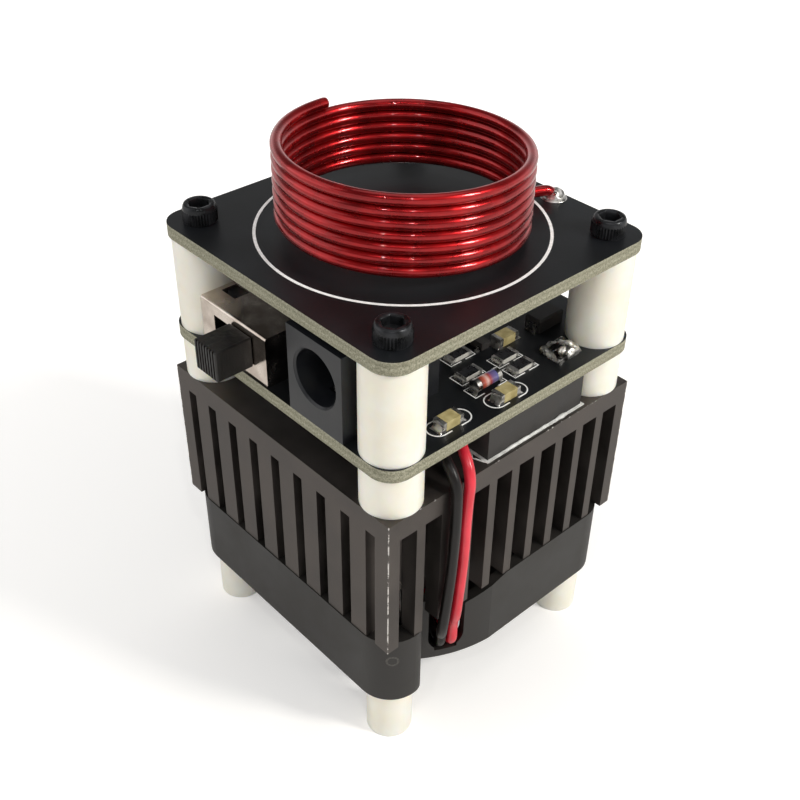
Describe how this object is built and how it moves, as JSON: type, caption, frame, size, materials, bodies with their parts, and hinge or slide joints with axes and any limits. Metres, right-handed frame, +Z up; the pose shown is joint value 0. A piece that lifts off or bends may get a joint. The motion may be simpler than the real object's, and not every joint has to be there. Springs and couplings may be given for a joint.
{
  "type": "desktop resonant transformer",
  "caption": "Square desktop module: a bare red wire coil on a black board, over a driver board with a power socket and slide switch, a finned heat sink and a small fan on feet.",
  "frame": {"origin": "on the ground, under the centre of the square stack of boards, heat sink and fan", "axes": "+Z up along the fan's and the coil's axis; -Y is the side of the power socket and the slide switch; +X is the side where the fan's two leads run"},
  "size_m": [0.0416, 0.0447, 0.0703],
  "materials": {
    "red_enamel": "glossy red enamel over copper wire",
    "solder": "bright solder",
    "board_mask": "black solder mask over glass laminate",
    "black_screw": "black oxide steel",
    "ivory_nylon": "ivory nylon",
    "tinned_wire": "tinned metal",
    "black_plastic": "black moulded plastic",
    "contact_metal": "plated brass",
    "switch_steel": "bright folded steel",
    "knob_plastic": "black moulded plastic",
    "epoxy": "black epoxy moulding",
    "copper_tab": "plated copper",
    "paste": "white heat paste",
    "anodised": "black anodised, worn bright at the edges",
    "fan_plastic": "black glass-filled plastic",
    "bronze": "sintered bronze",
    "steel": "plain steel",
    "magnet": "dark bonded magnet",
    "laminations": "stacked steel sheet",
    "copper": "enamelled copper wire",
    "green_board": "green solder mask",
    "red_lead": "red wire insulation",
    "black_lead": "black wire insulation",
    "ceramic": "tan ceramic",
    "resistor_black": "black resistor glaze",
    "diode_glass": "red-orange glass",
    "ferrite": "grey-black ferrite",
    "can_aluminium": "bright aluminium"
  },
  "bodies": {
    "base": {"board_solder_joints": "solder", "bulk_capacitor_base": "black_plastic", "bulk_capacitor_can": "can_aluminium", "capacitor_end_caps": "solder", "ceramic_capacitors": "ceramic", "chip_resistors": "resistor_black", "choke_core": "ferrite", "choke_winding": "copper", "coil_board": "board_mask", "coil_solder_joint": "solder", "coil_winding": "red_enamel", "dc_jack_contacts": "tinned_wire", "dc_jack_housing": "black_plastic", "dc_jack_pin": "contact_metal", "driver_board": "board_mask", "fan_bearing": "bronze", "fan_circuit_board": "green_board", "fan_frame": "fan_plastic", "fan_lead_black": "black_lead", "fan_lead_red": "red_lead", "fan_screws": "steel", "fan_stator_core": "laminations", "fan_stator_windings": "copper", "feet": "ivory_nylon", "frame_screws": "black_screw", "gate_transistor": "epoxy", "gate_transistor_legs": "tinned_wire", "glass_diode": "diode_glass", "glass_diode_caps": "tinned_wire", "heatsink": "anodised", "link_wire": "tinned_wire", "lower_spacers": "ivory_nylon", "power_transistor_body": "epoxy", "power_transistor_leads": "tinned_wire", "power_transistor_tab": "copper_tab", "rectifier_diode": "epoxy", "rectifier_terminals": "tinned_wire", "resistor_end_caps": "solder", "solder_lump": "solder", "switch_base": "black_plastic", "switch_can": "switch_steel", "switch_pins": "contact_metal", "thermal_paste": "paste", "upper_spacers": "ivory_nylon"},
    "rotor": {"fan_magnet_ring": "magnet", "fan_rotor": "fan_plastic", "fan_shaft": "steel", "fan_shaft_clip": "black_plastic"},
    "switch_lever": {"switch_bridge": "contact_metal", "switch_knob": "knob_plastic"}
  },
  "joints": [
    {"name": "fan_spin", "type": "hinge", "parent": "base", "child": "rotor", "pos_m": [0, 0, 0.0134], "axis": [0, 0, 1], "continuous": true},
    {"name": "switch_slide", "type": "slide", "parent": "base", "child": "switch_lever", "axis": [1, 0, 0], "range_m": [-0.00335, 0]}
  ]
}
